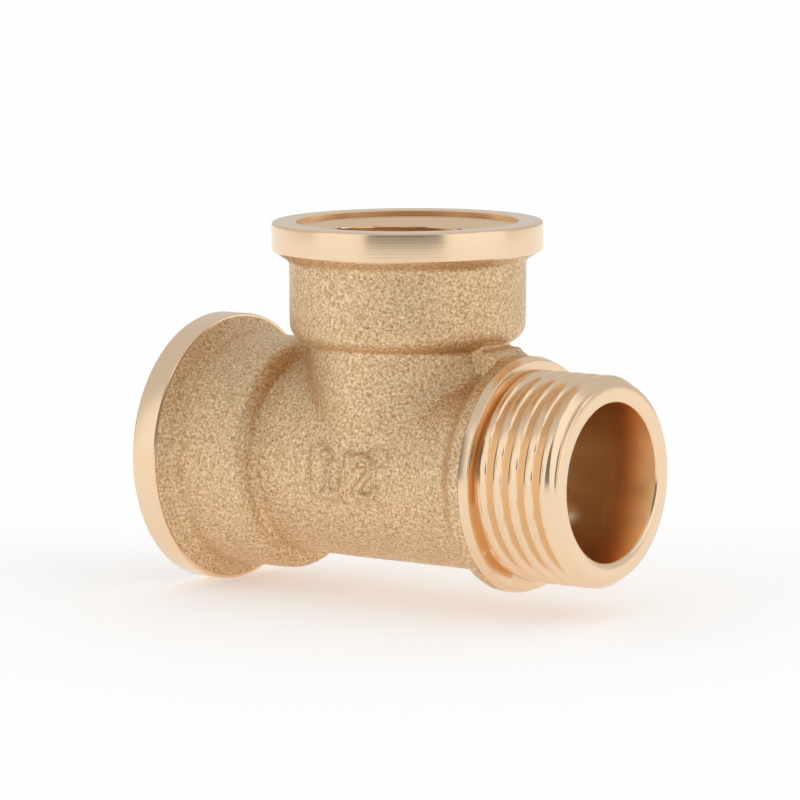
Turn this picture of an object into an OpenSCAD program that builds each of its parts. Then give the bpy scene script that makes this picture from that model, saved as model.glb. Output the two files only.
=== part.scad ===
// Brass pipe tee: a straight run with a female socket at one end and a male
// spigot at the other, and a branch with a second female socket on top.
// The real tee is one casting, machined at its three ends. Each node below is
// one zone of that casting, and neighbouring zones meet on flat faces.
// X runs along the run towards the male end, Z up the branch, and the ground
// is at the lowest point of the run socket's rim.

/* [Pipe thread] */
// Major diameter of the parallel half-inch pipe thread
thread_major_d = 20.955; // [20.6:0.005:21.2]
// Minor diameter of the thread, which is the drilled wall of each socket
thread_minor_d = 18.631; // [18.2:0.001:18.9]
// Depth from a socket's face to the end of its drilled wall
socket_depth = 11.2; // [9:0.1:11.6]
// Diameter of the countersink at a socket's face
mouth_d = 22.6; // [21.2:0.1:24]

/* [Tee body] */
// From the branch axis to either end face of the run
run_reach = 24.75; // [24.5:0.05:30]
// From the run axis to the branch face
branch_reach = 24.5; // [24.2:0.05:30]
// Outer diameter of the cast run tube
tube_d = 19.9; // [19.5:0.1:20.4]
// Outer diameter of the cast branch neck, just under the tube's
neck_d = 19.7; // [19.2:0.1:19.8]
// Waterway drilled along the run
run_way_d = 15.74; // [13:0.02:16]
// Waterway drilled down the branch, just under the run's
branch_way_d = 15.5; // [12:0.02:15.6]
// Radius of the cast fillet between the branch neck and the run tube
crotch_r = 2.2; // [1:0.1:2.4]

/* [Socket outside] */
// Diameter of the machined rim
rim_d = 27.5; // [26:0.1:30]
// Width of the rim's band
rim_w = 2.95; // [2:0.05:4]
// Length of the sloping back of the rim, down to the bell
rim_back = 0.8; // [0.4:0.1:1.5]
// Diameter of the cast bell at the rim
bell_d = 23.9; // [23.4:0.1:25]
// How much the bell's diameter tapers by the time it meets its shoulder
bell_taper = 0.1; // [0:0.05:0.6]
// From the run socket's face to the start of its shoulder
run_bell_len = 11.2; // [10:0.1:11.4]
// Length of the run socket's shoulder
run_shoulder_len = 1.35; // [0.8:0.05:1.4]
// From the branch face to the start of its shoulder
branch_bell_len = 10.2; // [9:0.1:10.2]
// Length of the branch's shoulder
branch_shoulder_len = 1.95; // [1.2:0.05:1.95]

/* [Male end] */
// Diameter of the collar behind the thread
collar_d = 23.16; // [22:0.02:25]
// From the end face back to the collar's front face
spigot_len = 9.7; // [8.5:0.1:10]
// Width of the collar's round band
collar_w = 2.1; // [1.2:0.1:2.4]
// Length of the cast slope from the tube up to the collar
collar_slope = 1.55; // [0.6:0.05:1.6]
// Length of the chamfer at the end of the thread
chamfer_len = 1.15; // [0.5:0.05:2]
// Diameter of the end face, inside the chamfer
end_face_d = 19.2; // [17:0.1:20]
// Width of the web that fills the crotch between branch and collar
web_w = 5; // [2:0.5:7]
// Radius of the hollow along the top of that web
web_hollow_r = 1.7; // [1.2:0.1:2]

/* [Hidden] */
$fn = 96;

axis_z = rim_d / 2;              // height of the run axis above the ground
major_r = thread_major_d / 2;
minor_r = thread_minor_d / 2;
mouth_r = mouth_d / 2;
tube_r = tube_d / 2;
neck_r = neck_d / 2;
run_way_r = run_way_d / 2;
branch_way_r = branch_way_d / 2;
rim_r = rim_d / 2;
bell_r = bell_d / 2;
collar_r = collar_d / 2;
edge_r = 0.25;                   // rounding left on the machined outer edges
bore_bevel = 0.25;               // bevel at the mouth of the male bore
drill_point = 31;                // slope of the cone that a drill leaves

run_split = run_reach - run_bell_len - run_shoulder_len;
branch_split = branch_reach - branch_bell_len - branch_shoulder_len;
collar_front = run_reach - spigot_len;
collar_back = collar_front - collar_w;
slope_start = collar_back - collar_slope;

cast = [0.74, 0.58, 0.40];
machined = [0.92, 0.76, 0.52];

crotch_end = 76;                 // angle at which the fillet has faded out
crotch_steps = 22;               // sections along one crotch
crotch_arc = 6;                  // steps across one section
sunk = 0.05;                     // depth by which a fillet's edges are buried
web_root = 1;                    // depth by which the web is let into the tubes

// Places at the crossing of the two axes, and turns a port's own +Z along the run.
module at_crossing() translate([0, 0, axis_z]) children();
module to_male_end() at_crossing() rotate([0, 90, 0]) children();
module to_run_socket() at_crossing() rotate([0, -90, 0]) children();

// Points that round an outer edge, from the end face down to the band.
function edge_round(r, face) =
    [for (turn = [90:-22.5:0])
        [r - edge_r + edge_r * cos(turn), face - edge_r + edge_r * sin(turn)]];

// Points of a shoulder that leaves the bell along its length and arrives
// square to the tube, as [radius, distance] pairs.
function shoulder(bell_end_r, bell_end, foot_r, foot, steps = 6) =
    [for (i = [0:steps]) [
        foot_r + (bell_end_r - foot_r) * cos(90 * i / steps),
        bell_end + (foot - bell_end) * sin(90 * i / steps)]];

// A female port revolved about its own axis. Distances are from the crossing.
module socket(reach, bell_len, shoulder_len, foot_r, way_r) {
    bell_end = reach - bell_len;
    foot = bell_end - shoulder_len;
    drilled_to = reach - socket_depth;
    cone = (minor_r - way_r) * tan(drill_point);
    rotate_extrude() polygon(concat(
        [[minor_r, reach - (mouth_r - minor_r)], [mouth_r, reach]],
        edge_round(rim_r, reach),
        [[rim_r, reach - rim_w + edge_r], [rim_r - edge_r, reach - rim_w]],
        [[bell_r, reach - rim_w - rim_back]],
        shoulder(bell_r - bell_taper / 2, bell_end, foot_r, foot),
        [[way_r, foot], [way_r, drilled_to - cone], [minor_r, drilled_to]]));
}

// One section of the crotch fillet: the arc of a ball that touches the run tube
// and the branch neck, closed by a point inside the wall. The angle goes round
// the branch, and 0 is over the male end.
function crotch_section(angle) =
    let (
        out = neck_r + crotch_r,
        up = tube_r + crotch_r,
        ball = [out * cos(angle), out * sin(angle), sqrt(up * up - pow(out * sin(angle), 2))],
        to_tube = [0, -ball[1], -ball[2]] / up,
        to_neck = [-ball[0], -ball[1], 0] / out,
        turn = acos(to_tube * to_neck),
        tube_edge = ball + to_tube * (crotch_r + sunk),
        neck_edge = ball + to_neck * (crotch_r + sunk),
        root = (neck_r - web_root) * [cos(angle), sin(angle), 0]
    )
    concat(
        [tube_edge],
        [for (i = [1:crotch_arc - 1])
            ball + crotch_r * (sin(turn * (1 - i / crotch_arc)) * to_tube
                + sin(turn * i / crotch_arc) * to_neck) / sin(turn)],
        [neck_edge],
        [[root[0], root[1], sqrt(pow(tube_r - web_root, 2) - root[1] * root[1])]]);

// The fillet in the crotch over the male end.
module crotch_fillet() {
    ring = crotch_arc + 2;
    sections = [for (k = [0:crotch_steps])
        crotch_section(-crotch_end + 2 * crotch_end * k / crotch_steps)];
    sides = [for (k = [0:crotch_steps - 1], i = [0:ring - 1], half = [0, 1])
        let (a = k * ring + i, b = k * ring + (i + 1) % ring)
        half == 0 ? [a, b, b + ring] : [a, b + ring, a + ring]];
    caps = [for (i = [1:ring - 2], end = [0, 1])
        end == 0 ? [0, i + 1, i]
            : [crotch_steps * ring, crotch_steps * ring + i, crotch_steps * ring + i + 1]];
    polyhedron(points = [for (s = sections, p = s) p], faces = concat(sides, caps));
}

// The web that fills the narrow crotch between the branch and the collar. Its
// top is hollowed to a round that lands on the collar.
module crotch_web() {
    difference() {
        translate([neck_r - web_root, -web_w / 2, tube_r - web_root])
            cube([collar_back - neck_r + web_root, web_w, branch_split - tube_r + web_root]);
        translate([collar_back + web_hollow_r / 3, 0, collar_r + web_hollow_r])
            rotate([90, 0, 0]) cylinder(r = web_hollow_r, h = 2 * web_w, center = true);
    }
}

// Middle of the casting: run tube, branch neck, their crotches and the slope
// that leads up to the collar, with the two waterways crossing inside.
module tee_centre() {
    color(cast) difference() {
        union() {
            to_run_socket() cylinder(r = tube_r, h = run_split);
            to_male_end() cylinder(r = tube_r, h = slope_start);
            to_male_end() translate([0, 0, slope_start])
                cylinder(r1 = tube_r, r2 = collar_r, h = collar_slope);
            at_crossing() cylinder(r = neck_r, h = branch_split);
            at_crossing() crotch_fillet();
            at_crossing() mirror([1, 0, 0]) crotch_fillet();
            at_crossing() crotch_web();
        }
        to_male_end() cylinder(r = run_way_r, h = 4 * run_reach, center = true);
        at_crossing() cylinder(r = branch_way_r, h = branch_reach);
    }
}

// Female end of the run: rim, bell, shoulder and the drilled wall that is tapped.
module run_socket() {
    color(cast) to_run_socket()
        socket(run_reach, run_bell_len, run_shoulder_len, tube_r, run_way_r);
}

// Female end of the branch.
module branch_socket() {
    color(cast) at_crossing()
        socket(branch_reach, branch_bell_len, branch_shoulder_len, neck_r, branch_way_r);
}

// Male end of the run: collar, and the spigot at the thread's major diameter.
module male_spigot() {
    color(machined) to_male_end() rotate_extrude() polygon(concat(
        [[run_way_r, run_reach - bore_bevel], [run_way_r + bore_bevel, run_reach]],
        [[end_face_d / 2, run_reach], [major_r, run_reach - chamfer_len]],
        [[major_r, collar_front]],
        edge_round(collar_r, collar_front),
        [[collar_r, collar_back], [run_way_r, collar_back]]));
}

tee_centre();
run_socket();
branch_socket();
male_spigot();
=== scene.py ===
import math

import bmesh
import bpy
from mathutils import Matrix, Vector, noise


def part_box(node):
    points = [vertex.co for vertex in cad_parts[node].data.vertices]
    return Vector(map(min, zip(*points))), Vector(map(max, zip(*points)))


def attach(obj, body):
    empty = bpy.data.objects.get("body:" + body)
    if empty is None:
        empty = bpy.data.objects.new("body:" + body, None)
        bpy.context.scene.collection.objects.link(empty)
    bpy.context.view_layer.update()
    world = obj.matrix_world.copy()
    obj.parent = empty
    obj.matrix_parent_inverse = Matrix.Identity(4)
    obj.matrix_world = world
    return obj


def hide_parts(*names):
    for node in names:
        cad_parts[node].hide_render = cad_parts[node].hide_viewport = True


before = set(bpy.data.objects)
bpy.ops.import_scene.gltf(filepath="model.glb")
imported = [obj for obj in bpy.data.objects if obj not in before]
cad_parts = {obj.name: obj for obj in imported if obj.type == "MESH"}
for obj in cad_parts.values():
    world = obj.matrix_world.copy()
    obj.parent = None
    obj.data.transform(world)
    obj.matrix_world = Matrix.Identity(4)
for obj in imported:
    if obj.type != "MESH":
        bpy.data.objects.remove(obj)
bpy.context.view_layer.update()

# --- The casting ---------------------------------------------------------------------------------
# The tee is one brass casting: a run tube, a branch neck, two bells with shoulders and a collar.
# It is cast in sand, shot-blasted to an even matt grain, and carries its size in raised numerals.
# Its skin is left as cast everywhere except at the three ends, which are turned afterwards.

mm = 0.001
run_low, run_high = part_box("run_socket")
branch_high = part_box("branch_socket")[1]
centre_low, centre_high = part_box("tee_centre")
male_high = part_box("male_spigot")[1]

axis_z = (run_low.z + run_high.z) / 2
run_reach = -run_low.x
branch_reach = branch_high.z - axis_z
male_reach = male_high.x
rim_r = branch_high.x
branch_rim_r = rim_r - 0.15 * mm
collar_r = male_high.y
collar_back = centre_high.x
run_foot = -centre_low.x
branch_foot = centre_high.z - axis_z

tube_r = 9.95 * mm
neck_r = 9.85 * mm
bell_r = 11.88 * mm
way_r = 7.87 * mm
branch_way_r = 7.75 * mm
thread_minor_r = 9.3155 * mm
thread_major_r = 10.4775 * mm
pitch = 1.814 * mm
rim_w = 2.95 * mm
rim_back = 0.95 * mm
socket_depth = 11.2 * mm
lining_r = 11.0 * mm

to_crossing = Matrix.Translation((0, 0, axis_z))
branch_port = to_crossing
male_port = to_crossing @ Matrix.Rotation(math.radians(90), 4, "Y")
run_port = to_crossing @ Matrix.Rotation(math.radians(-90), 4, "Y")


def revolve(outline, steps, closed=True):
    """Spins an outline of (distance along the port, radius) points about +Z."""
    bm = bmesh.new()
    verts = [bm.verts.new((r, 0, s)) for s, r in outline]
    ends = verts[1:] + verts[:1] if closed else verts[1:]
    edges = [bm.edges.new(pair) for pair in zip(verts, ends)]
    bmesh.ops.spin(bm, geom=verts + edges, cent=(0, 0, 0), axis=(0, 0, 1), dvec=(0, 0, 0),
                   angle=2 * math.pi, steps=steps, use_merge=True, use_duplicate=False)
    bmesh.ops.remove_doubles(bm, verts=bm.verts, dist=1e-7)
    bmesh.ops.recalc_face_normals(bm, faces=bm.faces)
    return bm


def make_object(name, bm, place=None):
    """Turns a finished bmesh into an object that sits at the origin."""
    if place:
        bm.transform(place)
    mesh = bpy.data.meshes.new(name)
    bm.to_mesh(mesh)
    bm.free()
    piece = bpy.data.objects.new(name, mesh)
    bpy.context.scene.collection.objects.link(piece)
    return piece


def apply_modifiers(piece):
    """Keeps the mesh that the modifiers give, and drops the modifiers."""
    graph = bpy.context.evaluated_depsgraph_get()
    made = bpy.data.meshes.new_from_object(piece.evaluated_get(graph))
    piece.modifiers.clear()
    old, piece.data = piece.data, made
    bpy.data.meshes.remove(old)


def shoulder(bell_end_r, bell_end, foot_r, foot, steps=8):
    """Points of a shoulder that leaves the bell along its length and meets the tube squarely."""
    turns = [math.radians(90) * i / steps for i in range(steps + 1)]
    return [(bell_end + (foot - bell_end) * math.sin(t), foot_r + (bell_end_r - foot_r) * math.cos(t))
            for t in turns]


def bell_outline(reach, rim, bell_end, foot, foot_r):
    """Outside of one female end, from the tube's far side out to the plane behind the rim."""
    behind_rim = reach - rim_w
    return ([(-2 * mm, 0), (-2 * mm, foot_r)]
            + shoulder(bell_r - 0.05 * mm, bell_end, foot_r, foot)[::-1]
            + [(behind_rim - rim_back, bell_r), (behind_rim, rim - 0.2 * mm),
               (behind_rim + mm, rim - 0.2 * mm), (behind_rim + mm, 0)])


run_bell_end = run_foot + 1.35 * mm
branch_bell_end = branch_foot + 1.95 * mm
cast_front = 14.4 * mm
slope_start = collar_back - 1.55 * mm
collar_cast_r = collar_r + 0.16 * mm

solids = bmesh.new()
for outline, port in (
    (bell_outline(run_reach, rim_r, run_bell_end, run_foot, tube_r), run_port),
    (bell_outline(branch_reach, branch_rim_r, branch_bell_end, branch_foot, neck_r), branch_port),
    ([(-2 * mm, 0), (-2 * mm, tube_r), (slope_start, tube_r), (collar_back + 0.3 * mm, collar_cast_r),
      (cast_front + mm, collar_cast_r), (cast_front + mm, 0)], male_port),
):
    part = revolve(outline, 128, closed=False)
    part.transform(port)
    mesh = bpy.data.meshes.new("part")
    part.to_mesh(mesh)
    part.free()
    solids.from_mesh(mesh)
    bpy.data.meshes.remove(mesh)

# The crotch fillets and the web come with the frame's own middle node.
middle = bmesh.new()
middle.from_mesh(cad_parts["tee_centre"].data)
bmesh.ops.remove_doubles(middle, verts=middle.verts, dist=1e-6)
mesh = bpy.data.meshes.new("middle")
middle.to_mesh(mesh)
middle.free()
solids.from_mesh(mesh)
bpy.data.meshes.remove(mesh)

# Raised size mark on the front of the tube: a low plate with rounded corners and three strokes'
# worth of numerals, drawn flat and then wrapped round the tube.
plate_w, plate_h, plate_rise = 9.5 * mm, 5.6 * mm, 0.26 * mm
stroke_r = 0.36 * mm
stroke_rise = 0.85 * mm
MARK = [
    ([(-3.3, 1.55), (-2.85, 1.85), (-2.4, 2.05), (-2.4, -1.95)], False),
    ([(-3.35, -2.0), (-1.45, -2.0)], False),
    ([(-0.85, -1.95), (0.15, 2.2)], False),
    ([(1.15, 0.72), (0.62, 1.05), (0.85, 1.72), (1.75, 2.0), (2.65, 1.62), (2.9, 0.85),
      (2.5, 0.05), (1.75, -0.6), (1.1, -1.2), (0.85, -1.8)], True),
    ([(0.85, -1.85), (3.25, -1.85), (3.15, -0.85)], False),
]


def wrap_on_tube(across, up, rise):
    """Point of the tube's front that lies across and up from the mark's middle."""
    turn = up / tube_r
    return Vector((across, -(tube_r + rise) * math.cos(turn), axis_z + (tube_r + rise) * math.sin(turn)))


plate = bmesh.new()
bmesh.ops.create_cube(plate, size=1)
bmesh.ops.scale(plate, vec=(plate_w, plate_h, mm), verts=plate.verts)
upright = [e for e in plate.edges if abs(e.verts[0].co.z - e.verts[1].co.z) > mm / 2]
bmesh.ops.bevel(plate, geom=upright, offset=0.8 * mm, offset_type="OFFSET", segments=5, profile=0.5,
                affect="EDGES", material=-1)
for i in range(-12, 13):
    bmesh.ops.bisect_plane(plate, geom=plate.verts[:] + plate.edges[:] + plate.faces[:],
                           plane_co=(0, plate_h / 2 * i / 12.5, 0), plane_no=(0, 1, 0))
for v in plate.verts:
    v.co = wrap_on_tube(v.co.x, v.co.y, plate_rise if v.co.z > 0 else -mm)
mesh = bpy.data.meshes.new("plate")
plate.to_mesh(mesh)
plate.free()
solids.from_mesh(mesh)
bpy.data.meshes.remove(mesh)

for points, curved in MARK:
    curve = bpy.data.curves.new("stroke", "CURVE")
    curve.dimensions = "3D"
    curve.bevel_depth = stroke_r
    curve.bevel_resolution = 4
    curve.use_fill_caps = True
    if curved:
        spline = curve.splines.new("NURBS")
        spline.points.add(len(points) - 1)
        spline.order_u = 4
        spline.use_endpoint_u = True
        spline.resolution_u = 8
    else:
        spline = curve.splines.new("POLY")
        spline.points.add(len(points) - 1)
    for point, (across, up) in zip(spline.points, points):
        point.co = (across * mm, up * mm, 0, 1)
    holder = bpy.data.objects.new("stroke", curve)
    bpy.context.scene.collection.objects.link(holder)
    graph = bpy.context.evaluated_depsgraph_get()
    mesh = bpy.data.meshes.new_from_object(holder.evaluated_get(graph))
    for v in mesh.vertices:
        rise = min(plate_rise + 2.4 * v.co.z, stroke_rise)
        v.co = wrap_on_tube(v.co.x, v.co.y, rise)
    solids.from_mesh(mesh)
    bpy.data.meshes.remove(mesh)
    bpy.data.objects.remove(holder)
    bpy.data.curves.remove(curve)

bmesh.ops.recalc_face_normals(solids, faces=solids.faces)
cast_body = make_object("cast_body", solids)
remesh = cast_body.modifiers.new("one skin", "REMESH")
remesh.mode = "VOXEL"
remesh.voxel_size = 0.22 * mm
apply_modifiers(cast_body)

# Soften the skin as the sand leaves it, then give it the slight unevenness of a casting.
skin = bmesh.new()
skin.from_mesh(cast_body.data)
for _ in range(3):
    bmesh.ops.smooth_vert(skin, verts=skin.verts, factor=0.5, use_axis_x=True, use_axis_y=True, use_axis_z=True)
skin.normal_update()
moves = []
for v in skin.verts:
    swell = 0.04 * mm * noise.noise(v.co / (4 * mm))
    pits = 0.02 * mm * noise.fractal(v.co / (0.45 * mm), 0.8, 2.0, 2)
    moves.append(v.normal * (swell + pits))
for v, move in zip(skin.verts, moves):
    v.co += move
skin.to_mesh(cast_body.data)
skin.free()

# The drills and the lathe cut the waterways and the seats of the three machined ends.
drill_cone = math.tan(math.radians(31))
run_seat = run_reach - socket_depth
branch_seat = branch_reach - socket_depth
clear = 4 * mm
run_cut = revolve(
    [(-run_reach - clear, 0), (-run_reach - clear, rim_r + mm), (rim_w - run_reach, rim_r + mm),
     (rim_w - run_reach, lining_r), (-run_seat, lining_r), (-run_seat, thread_minor_r),
     (-run_seat + (thread_minor_r - way_r) * drill_cone, way_r), (cast_front, way_r),
     (cast_front, collar_r + mm), (cast_front + clear, collar_r + mm), (cast_front + clear, 0)],
    160, closed=False)
branch_cut = revolve(
    [(0, 0), (0, branch_way_r), (branch_seat - (thread_minor_r - branch_way_r) * drill_cone, branch_way_r),
     (branch_seat, thread_minor_r), (branch_seat, lining_r), (branch_reach - rim_w, lining_r),
     (branch_reach - rim_w, rim_r + mm), (branch_reach + clear, rim_r + mm), (branch_reach + clear, 0)],
    160, closed=False)
for bm, port in ((run_cut, male_port), (branch_cut, branch_port)):
    cutter = make_object("cutter", bm, port)
    cut = cast_body.modifiers.new("cut", "BOOLEAN")
    cut.operation = "DIFFERENCE"
    cut.solver = "EXACT"
    cut.object = cutter
    apply_modifiers(cast_body)
    bpy.data.objects.remove(cutter)


def add_node(tree, kind, **values):
    node = tree.nodes.new(kind)
    for key, value in values.items():
        if key in node.inputs:
            node.inputs[key].default_value = value
        else:
            setattr(node, key, value)
    return node


def new_brass(name, colour, roughness):
    """A plain metallic material, with its tree and its shader."""
    material = bpy.data.materials.new(name)
    material.use_nodes = True
    tree = material.node_tree
    shader = tree.nodes["Principled BSDF"]
    shader.inputs["Metallic"].default_value = 1
    shader.inputs["Base Color"].default_value = (*colour, 1)
    shader.inputs["Roughness"].default_value = roughness
    return material, tree, shader


# Shot-blasted skin: brass dulled by a dense grain of small dents, with brighter and darker grains.
blasted_brass, tree, shader = new_brass("blasted_brass", (0.86, 0.62, 0.40), 0.42)
place = add_node(tree, "ShaderNodeTexCoord")
grain = add_node(tree, "ShaderNodeTexNoise", Scale=4200.0, Detail=3.0, Roughness=0.65)
dents = add_node(tree, "ShaderNodeTexVoronoi", Scale=4600.0)
tint = add_node(tree, "ShaderNodeTexNoise", Scale=3600.0, Detail=3.0, Roughness=0.7)
ramp = add_node(tree, "ShaderNodeValToRGB")
ramp.color_ramp.elements[0].position = 0.34
ramp.color_ramp.elements[0].color = (0.50, 0.29, 0.12, 1)
ramp.color_ramp.elements[1].position = 0.64
ramp.color_ramp.elements[1].color = (0.98, 0.76, 0.50, 1)
mix = add_node(tree, "ShaderNodeMath", operation="MULTIPLY_ADD")
mix.inputs[1].default_value = 0.6
bump = add_node(tree, "ShaderNodeBump", Strength=0.75, Distance=0.00012)
for texture in (grain, dents, tint):
    tree.links.new(place.outputs["Object"], texture.inputs["Vector"])
tree.links.new(dents.outputs["Distance"], mix.inputs[0])
tree.links.new(grain.outputs["Fac"], mix.inputs[2])
tree.links.new(mix.outputs[0], bump.inputs["Height"])
tree.links.new(bump.outputs["Normal"], shader.inputs["Normal"])
tree.links.new(tint.outputs["Fac"], ramp.inputs["Fac"])
tree.links.new(ramp.outputs["Color"], shader.inputs["Base Color"])

cast_body.data.materials.clear()
cast_body.data.materials.append(blasted_brass)
cast_body.data.shade_smooth()
cast_body.data.set_sharp_from_angle(angle=math.radians(50))
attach(cast_body, "root")
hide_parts("tee_centre")

# --- The two female ends -------------------------------------------------------------------------
# Each socket is bored, faced and tapped in the lathe: a turned rim, a countersunk mouth and an
# internal half-inch pipe thread. They are the same brass as the casting, bright where the tool cut.


def crest_profile(from_crest):
    """Height of a Whitworth thread above its root, at a distance along the axis from a crest."""
    depth = thread_major_r - thread_minor_r
    arc_r, arc_half = 0.1373 * pitch, 0.1218 * pitch
    d = abs((from_crest / pitch + 0.5) % 1.0 - 0.5) * pitch
    drop = arc_r - math.sqrt(arc_r ** 2 - arc_half ** 2)
    if d < arc_half:
        return depth - arc_r + math.sqrt(arc_r ** 2 - d ** 2)
    if d > pitch / 2 - arc_half:
        return arc_r - math.sqrt(arc_r ** 2 - (pitch / 2 - d) ** 2)
    return depth - drop - (d - arc_half) / math.tan(math.radians(27.5))


def along_steps(start, end, step):
    count = max(1, round(abs(end - start) / step))
    return [start + (end - start) * i / count for i in range(count + 1)]


def rounded_corner(s, r, size, turn_from, steps=5):
    """Points that round the corner at (s, r); turn_from is 'face' or 'back' of a rim's band."""
    sign = 1 if turn_from == "face" else -1
    return [(s - sign * size * (1 - math.cos(math.radians(90) * i / steps)),
             r - size * (1 - math.sin(math.radians(90) * i / steps))) for i in range(steps + 1)][::sign]


def female_end(name, reach, rim, seat, phase, port):
    """A machined socket: rim, face, counterbored mouth and the tapped wall, as one closed ring."""
    mouth_r = 11.15 * mm
    ledge = reach - 1.0 * mm
    behind_rim = reach - rim_w
    outline = [(seat, lining_r), (behind_rim, lining_r)]
    outline += [(behind_rim, rim - 0.12 * mm), (behind_rim + 0.12 * mm, rim)]
    outline += rounded_corner(reach, rim, 0.3 * mm, "face")[::-1]
    outline += [(reach, mouth_r + 0.12 * mm), (reach - 0.1 * mm, mouth_r)]
    outline += [(reach - 0.65 * mm, mouth_r), (reach - 0.7 * mm, mouth_r - 0.05 * mm)]
    outline += [(s, thread_minor_r) for s in along_steps(ledge, seat, 0.085 * mm)]
    bm = revolve(outline, 256)
    for v in bm.verts:
        s, r = v.co.z, math.hypot(v.co.x, v.co.y)
        if r > thread_minor_r + 1e-6:
            continue
        turn = math.atan2(v.co.y, v.co.x) / (2 * math.pi)
        cut_in = min(1.0, max(0.0, (s - seat - 0.3 * mm) / pitch))
        groove = (crest_profile(s - phase - pitch * turn)) * cut_in
        cone = thread_major_r - (ledge - s)
        new_r = max(thread_minor_r + groove, cone)
        v.co.x *= new_r / r
        v.co.y *= new_r / r
    piece = make_object(name, bm, port)
    piece.data.shade_smooth()
    piece.data.set_sharp_from_angle(angle=math.radians(38))
    return piece


run_end = female_end("run_end", run_reach, rim_r, run_seat, 0.3 * mm, run_port)
branch_end = female_end("branch_end", branch_reach, branch_rim_r, branch_seat, 0.0, branch_port)


def turned_brass(name, axis, height, colour=(0.90, 0.68, 0.46), roughness=0.2):
    """Bright brass with the fine rings that a lathe tool leaves round the given axis."""
    material, tree, shader = new_brass(name, colour, roughness)
    place = add_node(tree, "ShaderNodeTexCoord")
    split = add_node(tree, "ShaderNodeSeparateXYZ")
    lift = add_node(tree, "ShaderNodeMath", operation="SUBTRACT")
    lift.inputs[1].default_value = height
    tree.links.new(place.outputs["Object"], split.inputs[0])
    tree.links.new(split.outputs["Z"], lift.inputs[0])
    across = add_node(tree, "ShaderNodeVectorMath", operation="LENGTH")
    join = add_node(tree, "ShaderNodeCombineXYZ")
    tree.links.new(split.outputs["Y"], join.inputs[0])
    if axis == "Z":
        tree.links.new(split.outputs["X"], join.inputs[1])
        along = split.outputs["Z"]
    else:
        tree.links.new(lift.outputs[0], join.inputs[1])
        along = split.outputs["X"]
    tree.links.new(join.outputs[0], across.inputs[0])
    rings = add_node(tree, "ShaderNodeCombineXYZ")
    tree.links.new(along, rings.inputs[0])
    tree.links.new(across.outputs["Value"], rings.inputs[1])
    lines = add_node(tree, "ShaderNodeTexNoise", Scale=9000.0, Detail=2.0, Roughness=0.5)
    tree.links.new(rings.outputs[0], lines.inputs["Vector"])
    bump = add_node(tree, "ShaderNodeBump", Strength=0.35, Distance=0.00001)
    tree.links.new(lines.outputs["Fac"], bump.inputs["Height"])
    tree.links.new(bump.outputs["Normal"], shader.inputs["Normal"])
    return material


turned_branch = turned_brass("turned_brass_branch", "Z", 0)
turned_run = turned_brass("turned_brass_run", "X", axis_z)
for piece, material, node in ((run_end, turned_run, "run_socket"), (branch_end, turned_branch, "branch_socket")):
    piece.data.materials.append(material)
    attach(piece, "root")
    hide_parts(node)

# --- The male end --------------------------------------------------------------------------------
# The spigot is turned from the casting: a collar with a faced front, a half-inch pipe thread cut
# up to it with a die, a chamfered end face and a bored waterway with a broken edge.

collar_front = 15.35 * mm
collar_front_r = 11.45 * mm
chamfer_len = 1.0 * mm
end_face_r = 9.7 * mm
first_crest = 16.885 * mm
groove_floor_r = thread_minor_r + 0.3 * mm
run_out_r = 9.98 * mm


def spigot_radius(s, turn):
    """Radius of the threaded spigot at a distance along it and a part of a turn round it."""
    thread = min(thread_major_r, groove_floor_r + crest_profile(s - first_crest - pitch * turn))
    turns_in = (s - first_crest) / pitch - turn
    before_start = turns_in < -0.5 and turn < -0.06
    if before_start or turns_in < -1.5:
        thread = min(thread, run_out_r)
    slope = (thread_major_r - end_face_r) / chamfer_len
    chamfer = end_face_r + (male_reach - s) * slope
    return min(thread, chamfer)


outline = [(cast_front, way_r), (cast_front, collar_cast_r - 0.05 * mm), (cast_front + 0.05 * mm, collar_cast_r)]
outline += rounded_corner(collar_front, collar_front_r, 0.12 * mm, "face")[::-1]
outline += [(s, thread_minor_r) for s in along_steps(collar_front + 0.001 * mm, male_reach - 0.1 * mm, 0.08 * mm)]
outline += [(male_reach, end_face_r - 0.25 * mm), (male_reach, way_r + 0.3 * mm)]
outline += [(male_reach - 0.1 * mm, way_r + 0.1 * mm), (male_reach - 0.3 * mm, way_r)]
bm = revolve(outline, 288)
for v in bm.verts:
    s, r = v.co.z, math.hypot(v.co.x, v.co.y)
    if abs(r - thread_minor_r) < 1e-6:
        new_r = spigot_radius(s, math.atan2(v.co.y, v.co.x) / (2 * math.pi))
        v.co.x *= new_r / r
        v.co.y *= new_r / r
spigot = make_object("threaded_spigot", bm, male_port)
spigot.data.shade_smooth()
spigot.data.set_sharp_from_angle(angle=math.radians(38))
spigot.data.materials.append(turned_run)
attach(spigot, "root")
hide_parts("male_spigot")

# --- Floor, light and camera ---------------------------------------------------------------------
# A plain pale floor and a soft white studio: two broad light panels left and right of the camera,
# and a darker gap between them where the camera stands.

floor_bm = bmesh.new()
bmesh.ops.create_circle(floor_bm, cap_ends=True, segments=64, radius=6)
floor = make_object("floor", floor_bm)
floor_paint = bpy.data.materials.new("floor_paint")
floor_paint.use_nodes = True
floor_paint.node_tree.nodes["Principled BSDF"].inputs["Base Color"].default_value = (0.94, 0.94, 0.94, 1)
floor_paint.node_tree.nodes["Principled BSDF"].inputs["Roughness"].default_value = 0.9
floor_paint.node_tree.nodes["Principled BSDF"].inputs["Emission Color"].default_value = (1, 1, 1, 1)
floor_paint.node_tree.nodes["Principled BSDF"].inputs["Emission Strength"].default_value = 0.34
floor.data.materials.append(floor_paint)

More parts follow.
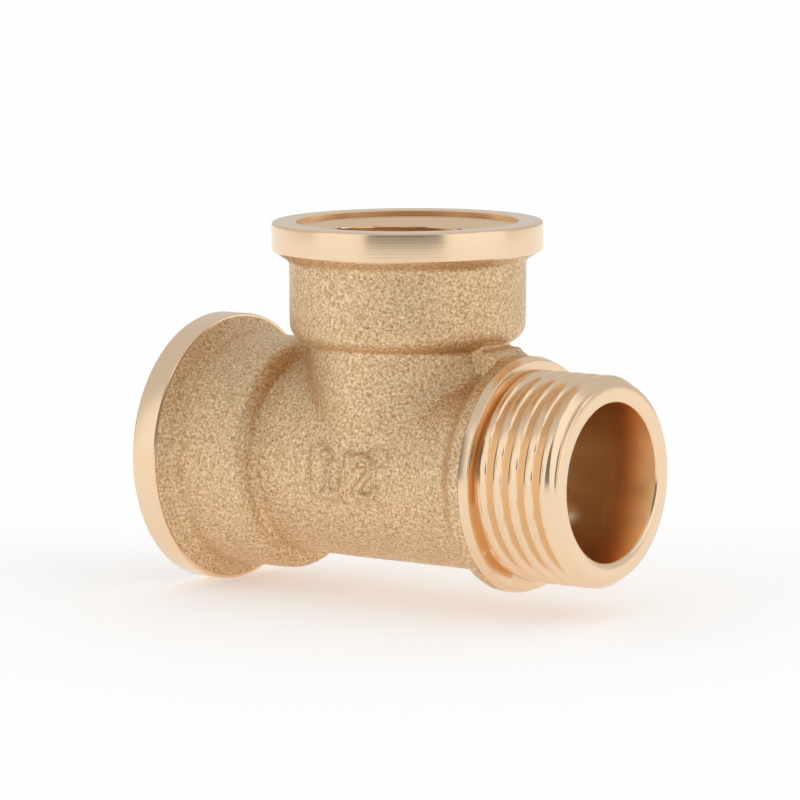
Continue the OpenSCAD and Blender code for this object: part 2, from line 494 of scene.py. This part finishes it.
view_azimuth, view_elevation, view_roll = math.radians(36.277), math.radians(7.483), math.radians(-0.371)
studio = bpy.data.worlds.new("studio")
bpy.context.scene.world = studio
studio.use_nodes = True
tree = studio.node_tree
background = tree.nodes["Background"]
ray = add_node(tree, "ShaderNodeTexCoord")
turn = add_node(tree, "ShaderNodeVectorRotate", rotation_type="Z_AXIS")
turn.inputs["Angle"].default_value = -view_azimuth
split = add_node(tree, "ShaderNodeSeparateXYZ")
tree.links.new(ray.outputs["Generated"], turn.inputs["Vector"])
tree.links.new(turn.outputs[0], split.inputs[0])
flip = add_node(tree, "ShaderNodeMath", operation="MULTIPLY")
flip.inputs[1].default_value = -1
tree.links.new(split.outputs["Y"], flip.inputs[0])
azimuth = add_node(tree, "ShaderNodeMath", operation="ARCTAN2")
tree.links.new(split.outputs["X"], azimuth.inputs[0])
tree.links.new(flip.outputs[0], azimuth.inputs[1])
elevation = add_node(tree, "ShaderNodeMath", operation="ARCSINE")
tree.links.new(split.outputs["Z"], elevation.inputs[0])


def band(value, low, high, edge):
    """1 between two angles in degrees and 0 outside them, with soft edges."""
    rise = add_node(tree, "ShaderNodeMapRange", interpolation_type="SMOOTHSTEP")
    fall = add_node(tree, "ShaderNodeMapRange", interpolation_type="SMOOTHSTEP")
    for node, at, sign in ((rise, low, 1), (fall, high, -1)):
        node.inputs["From Min"].default_value = math.radians(at - sign * edge)
        node.inputs["From Max"].default_value = math.radians(at + sign * edge)
        tree.links.new(value, node.inputs["Value"])
    both = add_node(tree, "ShaderNodeMath", operation="MULTIPLY")
    tree.links.new(rise.outputs[0], both.inputs[0])
    tree.links.new(fall.outputs[0], both.inputs[1])
    return both.outputs[0]


def patch(az_low, az_high, az_edge, el_low, el_high, el_edge, amount):
    """A rectangle of the studio, brighter or darker than the rest by an amount."""
    sides = band(azimuth.outputs[0], az_low, az_high, az_edge)
    ends = band(elevation.outputs[0], el_low, el_high, el_edge)
    both = add_node(tree, "ShaderNodeMath", operation="MULTIPLY")
    tree.links.new(sides, both.inputs[0])
    tree.links.new(ends, both.inputs[1])
    scaled = add_node(tree, "ShaderNodeMath", operation="MULTIPLY")
    scaled.inputs[1].default_value = amount
    tree.links.new(both.outputs[0], scaled.inputs[0])
    return scaled.outputs[0]


level = 0.66
total = None
for light in (
    patch(-86, -36, 1.5, -35, 48, 10, 0.40),
    patch(31, 92, 1.5, -35, 48, 10, 0.44),
    patch(-36, 31, 1.5, -45, 40, 6, -0.46),
):
    add = add_node(tree, "ShaderNodeMath", operation="ADD")
    add.inputs[1].default_value = level
    if total is not None:
        tree.links.new(total, add.inputs[1])
    tree.links.new(light, add.inputs[0])
    total = add.outputs[0]
tree.links.new(total, background.inputs["Strength"])
background.inputs["Color"].default_value = (1, 1, 1, 1)

# The camera stands at the fitted viewing angle, aimed past the crossing of the two axes.
camera_data = bpy.data.cameras.new("camera")
camera = bpy.data.objects.new("camera", camera_data)
bpy.context.scene.collection.objects.link(camera)
back = Vector((math.sin(view_azimuth) * math.cos(view_elevation),
               -math.cos(view_azimuth) * math.cos(view_elevation), math.sin(view_elevation)))
right = Vector((math.cos(view_azimuth), math.sin(view_azimuth), 0))
up = back.cross(right)
rolled_right = right * math.cos(view_roll) + up * math.sin(view_roll)
rolled_up = up * math.cos(view_roll) - right * math.sin(view_roll)
distance = 481.0 * mm
aim = Vector((0, 0, axis_z)) + (-0.961) * mm * rolled_right + 7.226 * mm * rolled_up
camera.matrix_world = Matrix.Translation(aim + distance * back) @ Matrix(
    (rolled_right, rolled_up, back)).transposed().to_4x4()
camera_data.sensor_width = 36
camera_data.lens = 214.98
camera_data.shift_x = 0.0010
camera_data.shift_y = -0.0113
camera_data.clip_start, camera_data.clip_end = 0.01, 50
bpy.context.scene.camera = camera
bpy.context.scene.view_settings.view_transform = "Standard"
bpy.context.scene.cycles.max_bounces = 16
bpy.context.scene.cycles.glossy_bounces = 12
